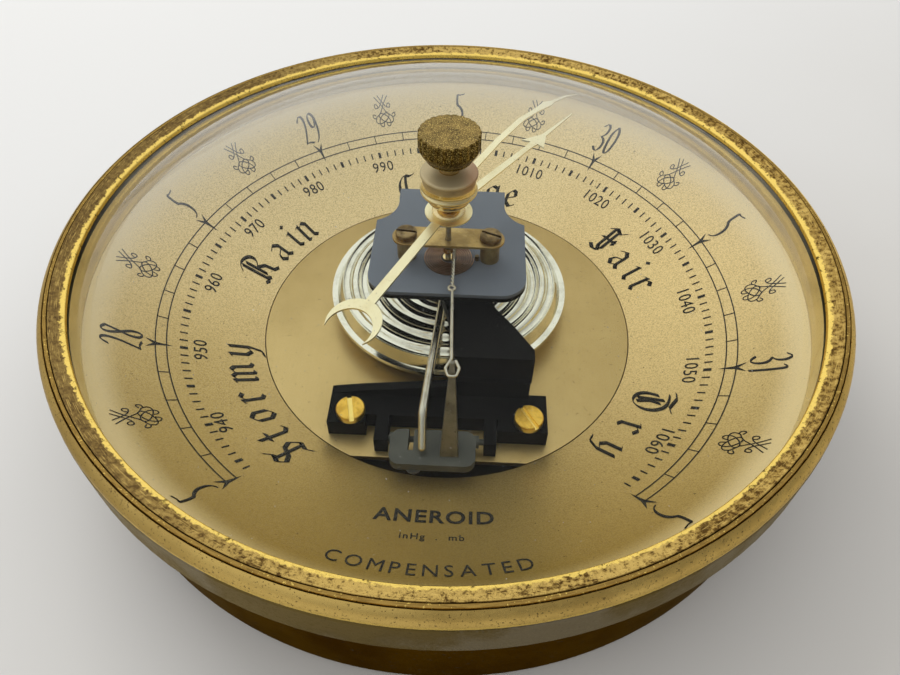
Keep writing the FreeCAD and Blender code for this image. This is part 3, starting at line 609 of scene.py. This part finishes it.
def rounded(node, s):
    piece = nodes[node].copy()
    piece.data = nodes[node].data.copy()
    piece.parent = None
    bpy.context.scene.collection.objects.link(piece)
    piece.name = camel(node) + "Rounded"
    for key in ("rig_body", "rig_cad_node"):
        if key in piece:
            del piece[key]
    choose(piece)
    bpy.ops.object.mode_set(mode="EDIT")
    bpy.ops.mesh.select_all(action="SELECT")
    bpy.ops.mesh.remove_doubles(threshold=2e-6)
    bpy.ops.mesh.dissolve_limited(angle_limit=math.radians(0.5))
    bpy.ops.object.mode_set(mode="OBJECT")
    if piece.data.has_custom_normals:
        bpy.ops.mesh.customdata_custom_splitnormals_clear()
    addModifier(piece, "BEVEL", {"width": s["width"] * mm, "segments": s["segments"], "limit_method": "ANGLE",
                                 "angle_limit": math.radians(35), "use_clamp_overlap": True})
    choose(piece)
    bpy.ops.object.shade_smooth_by_angle(angle=math.radians(32))
    addModifier(piece, "WEIGHTED_NORMAL", {"keep_sharp": True})
    wear(piece, finishOf[node], bodyOf[node], slotOf[node])
    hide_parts(node)
    return piece


for node, settings in roundSettings.items():
    rounded(node, settings)
print("rounded copies made:", len(roundSettings))


# printed dial: everything is drawn flat, given a hair of thickness, then laid on the bowl
dialUnit = 47.7 * mm                      # radius of the inner scale circle
bowl = {"radius": 93.0 * mm, "rimR": 58.2 * mm, "lift": 0.07 * mm, "ink": 0.02 * mm}
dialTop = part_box("dial")[1].z
bowlCentre = dialTop + math.sqrt(bowl["radius"] ** 2 - bowl["rimR"] ** 2)


def bowlHeight(x, y):
    return bowlCentre - math.sqrt(bowl["radius"] ** 2 - x * x - y * y)


def polar(r, angle):
    # clockwise from the top of the dial
    return r * math.sin(math.radians(angle)), r * math.cos(math.radians(angle))


def flatShape(name, outlines):
    curve = bpy.data.curves.new(name, "CURVE")
    curve.dimensions = "2D"
    curve.fill_mode = "BOTH"
    for outline in outlines:
        spline = curve.splines.new("POLY")
        spline.points.add(len(outline) - 1)
        for point, (x, y) in zip(spline.points, outline):
            point.co = (x, y, 0, 1)
        spline.use_cyclic_u = True
    piece = bpy.data.objects.new(name, curve)
    bpy.context.scene.collection.objects.link(piece)
    return thicken(toMesh(piece))


def thicken(piece):
    addModifier(piece, "SOLIDIFY", {"thickness": bowl["ink"], "offset": 0})
    return piece


def printed(piece, name):
    piece.name = name
    for vertex in piece.data.vertices:
        vertex.co.z += bowlHeight(vertex.co.x, vertex.co.y) + bowl["lift"]
    wear(piece, "dialInk", "case", "dial_ink")
    return piece


def setPlace(piece, r, angle, turned=False):
    x, y = polar(r, angle)
    turn = Matrix.Rotation(math.radians((180 if turned else 0) - angle), 4, "Z")
    piece.data.transform(Matrix.Translation((x, y, 0)) @ turn)
    return piece


scaleSettings = {
    "inner": 1.0, "outer": 1.032, "line": 0.0034, "reach": 144.0, "barStep": 7.2, "barLine": 0.0034,
    "arrowTip": 0.982, "arrowBack": 1.06, "arrowHalf": 0.02, "arrowNotch": 1.026,
    "tickIn": 0.938, "tickOut": 0.962, "tickThin": 0.0052, "tickThick": 0.0115, "tickStep": 2.16,
            "ticksEachSide": 66, "thickEvery": 5,
}


def scaleRing(r, s):
    half = s["line"] / 2
    steps = 160
    angles = [-s["reach"] + 2 * s["reach"] * i / steps for i in range(steps + 1)]
    outline = [polar((r + half) * dialUnit, a) for a in angles]
    return outline + [polar((r - half) * dialUnit, a) for a in reversed(angles)]


def barOutline(r0, r1, angle, width):
    x0, y0 = polar(r0 * dialUnit, angle)
    x1, y1 = polar(r1 * dialUnit, angle)
    sideX, sideY = polar(width * dialUnit / 2, angle + 90)
    return [(x0 - sideX, y0 - sideY), (x0 + sideX, y0 + sideY), (x1 + sideX, y1 + sideY), (x1 - sideX, y1 - sideY)]


def arrowOutline(angle, s):
    points = [(s["arrowTip"], 0), (s["arrowNotch"], 0.3), (s["arrowBack"], 1), (s["arrowNotch"] + 0.012, 0),
              (s["arrowBack"], -1), (s["arrowNotch"], -0.3)]
    outline = []
    for r, side in points:
        x, y = polar(r * dialUnit, angle)
        sideX, sideY = polar(s["arrowHalf"] * side * dialUnit, angle + 90)
        outline.append((x + sideX, y + sideY))
    return outline


s = scaleSettings
printed(flatShape("ring", [scaleRing(s["inner"], s)]), "scaleCircleInner")
printed(flatShape("ring", [scaleRing(s["outer"], s)]), "scaleCircleOuter")
bars = int(2 * s["reach"] / s["barStep"] + 0.5)
barAngles = [-s["reach"] + s["barStep"] * i for i in range(bars + 1)]
printed(flatShape("bars", [barOutline(s["inner"], s["outer"], a, s["barLine"]) for a in barAngles]), "scaleBars")
printed(flatShape("arrows", [arrowOutline(a, s) for a in barAngles[::5]]), "scaleArrows")
marks = []
for i in range(-s["ticksEachSide"], s["ticksEachSide"] + 1):
    thick = i % s["thickEvery"] == 0
    width = s["tickThick"] if thick else s["tickThin"]
    marks.append(barOutline(s["tickIn"], s["tickOut"], i * s["tickStep"], width))
printed(flatShape("ticks", marks), "millibarTicks")


labelSettings = {"r": 0.9, "height": 0.042, "weight": 0.0, "spread": 1.1}


def lettering(word, height, weight=0.0, spacing=1.0):
    bpy.ops.object.text_add()
    text = bpy.context.object
    text.data.body = word
    text.data.size = height * 1.37
    text.data.space_character = spacing
    text.data.offset = weight
    text.data.resolution_u = 3
    piece = toMesh(text)
    xs = [v.co.x for v in piece.data.vertices]
    ys = [v.co.y for v in piece.data.vertices]
    grow = height / (max(ys) - min(ys))
    middle = Vector(((max(xs) + min(xs)) / 2, (max(ys) + min(ys)) / 2, 0))
    piece.data.transform(Matrix.Scale(grow, 4) @ Matrix.Translation(-middle))
    return thicken(piece)


labels = []
for value in list(range(940, 1000, 10)) + list(range(1010, 1070, 10)):
    r = labelSettings["r"] + (0.012 if value in (940, 1060) else 0)
    word = lettering(str(value), labelSettings["height"] * dialUnit, labelSettings["weight"], labelSettings["spread"])
    labels.append(setPlace(word, r * dialUnit, (value - 1000) * s["tickStep"]))
printed(joined("labels", labels), "millibarNumerals")

footSettings = {
    "lines": [("ANEROID", 0.867, 0.056, 0.00008, 1.12), ("inHg  .  mb", 0.957, 0.032, 0.00002, 1.2)],
    "arcWord": "COMPENSATED", "arcR": 1.087, "arcHeight": 0.044, "arcGap": 0.017, "arcWeight": 0.0,
}
foot = []
for word, r, height, weight, spacing in footSettings["lines"]:
    foot.append(setPlace(lettering(word, height * dialUnit, weight, spacing), r * dialUnit, 180, True))
arcLetters = [lettering(letter, footSettings["arcHeight"] * dialUnit, footSettings["arcWeight"])
              for letter in footSettings["arcWord"]]
widths = []
for piece in arcLetters:
    xs = [v.co.x for v in piece.data.vertices]
    widths.append(max(xs) - min(xs))
arcGap = footSettings["arcGap"] * dialUnit
along = -(sum(widths) + arcGap * (len(widths) - 1)) / 2
for piece, width in zip(arcLetters, widths):
    angle = 180 - math.degrees((along + width / 2) / (footSettings["arcR"] * dialUnit))
    foot.append(setPlace(piece, footSettings["arcR"] * dialUnit, angle, True))
    along += width + arcGap
printed(joined("foot", foot), "dialWords")


# pen strokes: a broad nib drawn as a ribbon, plus a fine round line for the hair strokes
def strokeCurve(name, strokes, scale, origin):
    curve = bpy.data.curves.new(name, "CURVE")
    curve.dimensions = "2D"
    curve.resolution_u = 5
    for soft, points in strokes:
        spline = curve.splines.new("NURBS" if soft else "POLY")
        spline.points.add(len(points) - 1)
        for point, (x, y) in zip(spline.points, points):
            point.co = ((x - origin[0]) * scale[0], (y - origin[1]) * scale[1], 0, 1)
        if soft:
            spline.order_u = 3
            spline.use_endpoint_u = True
    piece = bpy.data.objects.new(name, curve)
    bpy.context.scene.collection.objects.link(piece)
    return piece


def hairLine(name, strokes, scale, origin, width):
    piece = strokeCurve(name, strokes, scale, origin)
    piece.data.dimensions = "3D"
    piece.data.bevel_depth = width / 2
    piece.data.bevel_resolution = 0
    piece.data.use_fill_caps = True
    piece = toMesh(piece)
    piece.data.transform(Matrix.Diagonal((1, 1, bowl["ink"] / width, 1)))
    return piece


def penned(name, strokes, scale, origin, nib, nibAngle, hair):
    ribbon = strokeCurve(name, strokes, scale, origin)
    ribbon.data.extrude = nib / 2
    ribbon = toMesh(ribbon)
    c, t = math.cos(math.radians(nibAngle)), math.sin(math.radians(nibAngle))
    for vertex in ribbon.data.vertices:
        x, y, z = vertex.co
        vertex.co = (x + z * c, y + z * t, 0)
    thicken(ribbon)
    return joined(name, [ribbon, hairLine(name, strokes, scale, origin, hair)])


# blackletter alphabet for the weather words, in x-heights: (is the stroke curved, its points)
blackletter = {
    "R": [(0, [(0.18, 1.5), (0.18, 0.2), (0.34, 0.04)]), (0, [(-0.12, 0.12), (0.1, 0.02), (0.34, 0.16)]),
          (0, [(0.42, 1.42), (0.42, 0.3)]), (1, [(-0.14, 1.3), (0.1, 1.62), (0.6, 1.6), (0.9, 1.4), (0.85, 1.0),
                  (0.42, 0.84)]),
          (0, [(0.5, 0.86), (0.82, 0.62), (0.88, 0.14), (1.12, 0.02)])],
    "S": [(0, [(0.98, 1.62), (0.7, 1.34), (0.3, 1.5), (0.06, 1.22), (0.3, 0.92), (0.76, 0.72), (0.92, 0.4),
            (0.62, 0.02),
               (0.2, 0.16), (-0.12, -0.04)]), (0, [(0.5, 1.4), (0.46, 0.1)])],
    "F": [(0, [(1.0, 1.66), (0.72, 1.4), (0.32, 1.58), (0.02, 1.34)]), (0, [(0.3, 1.52), (0.3, 0.34), (0.5, 0.06),
            (0.18, 0.0), (-0.1, 0.16)]),
          (0, [(0.58, 1.4), (0.58, 0.22)]), (0, [(0.06, 0.84), (0.92, 0.88)]), (0, [(0.82, 1.02), (0.88, 0.72)])],
    "D": [(1, [(0.04, 1.4), (0.6, 1.56), (1.06, 1.2), (1.06, 0.5), (0.66, -0.02), (0.2, 0.06), (0.02, 0.5),
            (0.16, 1.0)]),
          (0, [(0.4, 1.3), (0.4, 0.16)]), (0, [(0.62, 1.2), (0.5, 0.7), (0.62, 0.2)]), (0, [(-0.1, 1.62),
                  (0.24, 1.74), (0.8, 1.62), (1.1, 1.78)])],
    "C": [(1, [(1.0, 1.58), (0.74, 1.4), (0.42, 1.58), (0.04, 1.1), (0.08, 0.36), (0.5, -0.04), (1.0, 0.24)]),
          (1, [(0.5, 1.5), (0.36, 0.8), (0.52, 0.12)])],
    "a": [(0, [(0.08, 0.84), (0.36, 1.0), (0.6, 0.82), (0.6, 0.16), (0.8, 0.02)]),
          (0, [(0.6, 0.62), (0.2, 0.44), (0.1, 0.2), (0.32, 0.0), (0.6, 0.24)])],
    "i": [(0, [(0.0, 0.88), (0.18, 0.98), (0.18, 0.14), (0.36, 0.02)]), (0, [(0.12, 1.44), (0.24, 1.34)])],
    "n": [(0, [(0.0, 0.88), (0.16, 0.98), (0.16, 0.04), (0.3, 0.0)]), (0, [(0.16, 0.78), (0.46, 1.0), (0.64, 0.84),
            (0.64, 0.14), (0.82, 0.02)])],
    "t": [(0, [(0.2, 1.36), (0.2, 0.16), (0.42, 0.0), (0.6, 0.14)]), (0, [(-0.02, 0.94), (0.5, 0.94)])],
    "o": [(0, [(0.34, 1.0), (0.08, 0.78), (0.08, 0.22), (0.32, 0.0), (0.6, 0.24), (0.6, 0.8), (0.34, 1.0)])],
    "r": [(0, [(0.0, 0.88), (0.18, 0.98), (0.18, 0.12), (0.36, 0.0)]), (0, [(0.18, 0.76), (0.42, 1.0),
            (0.64, 0.84)])],
    "m": [(0, [(0.0, 0.88), (0.16, 0.98), (0.16, 0.04), (0.3, 0.0)]), (0, [(0.16, 0.78), (0.4, 1.0), (0.56, 0.84),
            (0.56, 0.04), (0.68, 0.0)]),
          (0, [(0.56, 0.78), (0.82, 1.0), (0.98, 0.84), (0.98, 0.14), (1.14, 0.02)])],
    "y": [(0, [(0.0, 0.88), (0.16, 0.98), (0.16, 0.24), (0.36, 0.02), (0.64, 0.26)]), (0, [(0.64, 1.0), (0.64, 0.1),
            (0.42, -0.42), (0.1, -0.5)])],
    "h": [(0, [(0.0, 1.66), (0.16, 1.56), (0.16, 0.06), (0.3, 0.0)]), (0, [(0.16, 0.76), (0.46, 1.0), (0.64, 0.8),
            (0.64, 0.1), (0.44, -0.3)])],
    "g": [(0, [(0.6, 0.9), (0.34, 1.0), (0.08, 0.78), (0.08, 0.3), (0.3, 0.1), (0.62, 0.34)]), (0, [(0.62, 1.04),
            (0.62, -0.1), (0.4, -0.5), (0.08, -0.4)])],
    "e": [(0, [(0.1, 0.48), (0.54, 0.66), (0.48, 0.92), (0.32, 1.0), (0.08, 0.74), (0.08, 0.24), (0.34, 0.0),
            (0.62, 0.18)])],
}
wordSettings = {
    "xHeight": 0.078, "nib": 0.0165, "nibAngle": 38, "hair": 0.0035,
    "words": [
        ("Stormy", [-143.8, -137.0, -130.3, -123.6, -115.0, -107.2], 0.747, 0.733),
        ("Rain", [-75.3, -65.7, -59.2, -54.0], 0.73, 0.727),
        ("Change", [-15.7, -7.6, -1.2, 5.4, 12.4, 19.2], 0.727, 0.727),
        ("Fair", [55.2, 63.4, 69.8, 75.3], 0.73, 0.74),
        ("Dry", [118.2, 127.9, 136.1], 0.751, 0.761),
    ],
}
words = []
w = wordSettings
scale = (w["xHeight"] * dialUnit, w["xHeight"] * dialUnit)
for word, angles, firstR, lastR in w["words"]:
    for i, (letter, angle) in enumerate(zip(word, angles)):
        strokes = blackletter[letter]
        xs = [x for soft, points in strokes for x, y in points]
        origin = ((min(xs) + max(xs)) / 2, 0)
        piece = penned("letter", strokes, scale, origin, w["nib"] * dialUnit, w["nibAngle"], w["hair"] * dialUnit)
        r = firstR + (lastR - firstR) * i / (len(word) - 1)
        words.append(setPlace(piece, r * dialUnit, angle))
printed(joined("words", words), "weatherWords")

# tall brush numerals for inches, one unit high
numerals = {
    "0": [(1, [(0.2, 1.0), (0.05, 0.86), (0.03, 0.45), (0.1, 0.02), (0.25, 0.1), (0.32, 0.55), (0.28, 0.92),
            (0.16, 1.0)])],
    "1": [(1, [(0.06, 0.82), (0.2, 1.0), (0.19, 0.5), (0.15, 0.0)])],
    "2": [(1, [(0.02, 0.8), (0.12, 1.02), (0.3, 0.94), (0.27, 0.6), (0.1, 0.2), (0.01, 0.02), (0.14, 0.1),
            (0.32, 0.02)])],
    "3": [(1, [(0.04, 0.86), (0.16, 1.04), (0.3, 0.86), (0.24, 0.6), (0.1, 0.54), (0.3, 0.46), (0.32, 0.16),
            (0.16, -0.04), (0.02, 0.14)])],
    "5": [(0, [(0.36, 1.0), (0.2, 0.96), (0.08, 0.96)]), (1, [(0.08, 0.98), (0.05, 0.62), (0.2, 0.56), (0.33, 0.36),
            (0.28, 0.02), (0.1, -0.02)])],
    "8": [(1, [(0.3, 0.9), (0.18, 1.04), (0.04, 0.86), (0.14, 0.56), (0.3, 0.26), (0.22, -0.02), (0.05, 0.06),
            (0.06, 0.32), (0.22, 0.62), (0.32, 0.9)])],
    "9": [(1, [(0.3, 0.8), (0.22, 0.5), (0.06, 0.54), (0.04, 0.86), (0.18, 1.04), (0.32, 0.86), (0.3, 0.5),
            (0.18, 0.12), (0.04, 0.0)])],
}
inchSettings = {"height": 0.112, "r": 1.066, "nib": 0.0105, "nibAngle": 25, "hair": 0.004, "gap": 0.42}
inches = []
n = inchSettings
scale = (n["height"] * dialUnit, n["height"] * dialUnit)
for i, angle in enumerate(barAngles[::5]):
    figures = "5" if i % 2 == 0 else str(28 + i // 2)
    for k, figure in enumerate(figures):
        origin = (0.17 - (k - (len(figures) - 1) / 2) * n["gap"], 0)
        piece = penned("figure", numerals[figure], scale, origin, n["nib"] * dialUnit, n["nibAngle"],
                n["hair"] * dialUnit)
        inches.append(setPlace(piece, n["r"] * dialUnit, angle))
printed(joined("inches", inches), "inchNumerals")

# scroll ornaments between the numerals, one half drawn and mirrored
scrollSettings = {
    "height": 0.118, "r": 1.124, "line": 0.0036, "angles": [-126, -90, -54, -18, 18, 54, 90, 126],
    "half": [
        (1, [(-0.3, 0.5), (-0.1, 0.3), (0.04, 0.1), (0.16, -0.08), (0.34, -0.16)]),
        (1, [(-0.14, 0.54), (0.0, 0.34), (0.14, 0.16), (0.34, 0.1), (0.36, 0.26), (0.22, 0.26), (0.2, 0.14)]),
        (1, [(0.34, -0.16), (0.44, -0.3), (0.26, -0.42), (-0.06, -0.32), (-0.26, -0.14), (-0.14, -0.02), (0.1, -0.12),
             (0.26, -0.3), (0.22, -0.5), (0.06, -0.5), (0.06, -0.36)]),
        (1, [(0.36, -0.12), (0.5, -0.02), (0.5, -0.22), (0.36, -0.2)]),
    ],
}
g = scrollSettings
strokes = []
for soft, points in g["half"]:
    strokes.append((soft, points))
    strokes.append((soft, [(-x, y) for x, y in points]))
scale = (g["height"] * dialUnit * 0.86, g["height"] * dialUnit)
scrolls = []
for angle in g["angles"]:
    piece = hairLine("scroll", strokes, scale, (0, 0), g["line"] * dialUnit)
    scrolls.append(setPlace(piece, g["r"] * dialUnit, angle))
printed(joined("scrolls", scrolls), "scrollOrnaments")
print("dial printed")


# pull chain: two fine strands twisted round each other
chainSettings = {"strand": 0.17, "twistR": 0.19, "pitch": 1.7, "stepsPerTurn": 10}


def twistedChain(s):
    low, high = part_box("pull_chain")
    x, z = (low.x + high.x) / 2, (low.z + high.z) / 2
    turns = (high.y - low.y) / (s["pitch"] * mm)
    steps = int(turns * s["stepsPerTurn"])
    strands = []
    for start in (0, math.pi):
        curve = bpy.data.curves.new("strand", "CURVE")
        curve.dimensions = "3D"
        curve.bevel_depth = s["strand"] * mm
        curve.bevel_resolution = 2
        curve.use_fill_caps = True
        curve.resolution_u = 2
        spline = curve.splines.new("NURBS")
        spline.points.add(steps)
        for i, point in enumerate(spline.points):
            angle = start + 2 * math.pi * turns * i / steps
            y = low.y + (high.y - low.y) * i / steps
            point.co = (x + s["twistR"] * mm * math.cos(angle), y, z + s["twistR"] * mm * math.sin(angle), 1)
        spline.order_u = 3
        spline.use_endpoint_u = True
        piece = bpy.data.objects.new("strand", curve)
        bpy.context.scene.collection.objects.link(piece)
        strands.append(toMesh(piece))
    chain = joined("twistedChain", strands)
    choose(chain)
    bpy.ops.object.shade_smooth()
    wear(chain, "brightSteel", "pull", "grey_steel")
    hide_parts("pull_chain")


twistedChain(chainSettings)
print("chain twisted")


# table and light
def layTable(s):
    bpy.ops.mesh.primitive_plane_add(size=s["size"], location=(0, 0, 0))
    table = bpy.context.object
    table.name = "table"
    table.data.materials.append(tableWhite(s))


layTable(floorSettings)

lightSettings = {
    "key": {"place": (-0.36, 0.46, 0.52), "size": 0.45, "power": 1.9, "colour": (1.0, 0.985, 0.95)},
    "fill": {"place": (0.5, -0.3, 0.9), "size": 0.8, "power": 0.8, "colour": (0.97, 0.98, 1.0)},
}
for name, l in lightSettings.items():
    bpy.ops.object.light_add(type="AREA", location=l["place"])
    lamp = bpy.context.object
    lamp.name = name + "Light"
    lamp.data.size = l["size"]
    lamp.data.energy = l["power"]
    lamp.data.color = l["colour"]
    lamp.visible_glossy = False               # reflections come from the soft surroundings only
    lamp.rotation_euler = (-Vector(l["place"])).to_track_quat("-Z", "Y").to_euler()

worldSettings = {
    "bright": (0.96, 0.96, 0.95, 1), "dim": (0.22, 0.215, 0.21, 1),
    "towards": (-0.6, 0.62, 0.5), "strength": 1.12, "spread": (-0.7, 0.8),
}


def lightWorld(s):
    world = bpy.data.worlds.new("studio")
    bpy.context.scene.world = world
    world.use_nodes = True
    tree = world.node_tree
    background = tree.nodes["Background"]
    way = tree.nodes.new("ShaderNodeTexCoord")
    along = tree.nodes.new("ShaderNodeVectorMath")
    along.operation = "DOT_PRODUCT"
    along.inputs[1].default_value = Vector(s["towards"]).normalized()
    tree.links.new(way.outputs["Generated"], along.inputs[0])
    ramp = tree.nodes.new("ShaderNodeMapRange")
    ramp.inputs["From Min"].default_value, ramp.inputs["From Max"].default_value = s["spread"]
    tree.links.new(along.outputs["Value"], ramp.inputs["Value"])
    blend = tree.nodes.new("ShaderNodeMix")
    blend.data_type = "RGBA"
    blend.inputs[6].default_value = s["dim"]
    blend.inputs[7].default_value = s["bright"]
    tree.links.new(ramp.outputs["Result"], blend.inputs[0])
    tree.links.new(blend.outputs[2], background.inputs["Color"])
    background.inputs["Strength"].default_value = s["strength"]


lightWorld(worldSettings)
bpy.context.scene.view_settings.view_transform = "Standard"
print("table and light set")
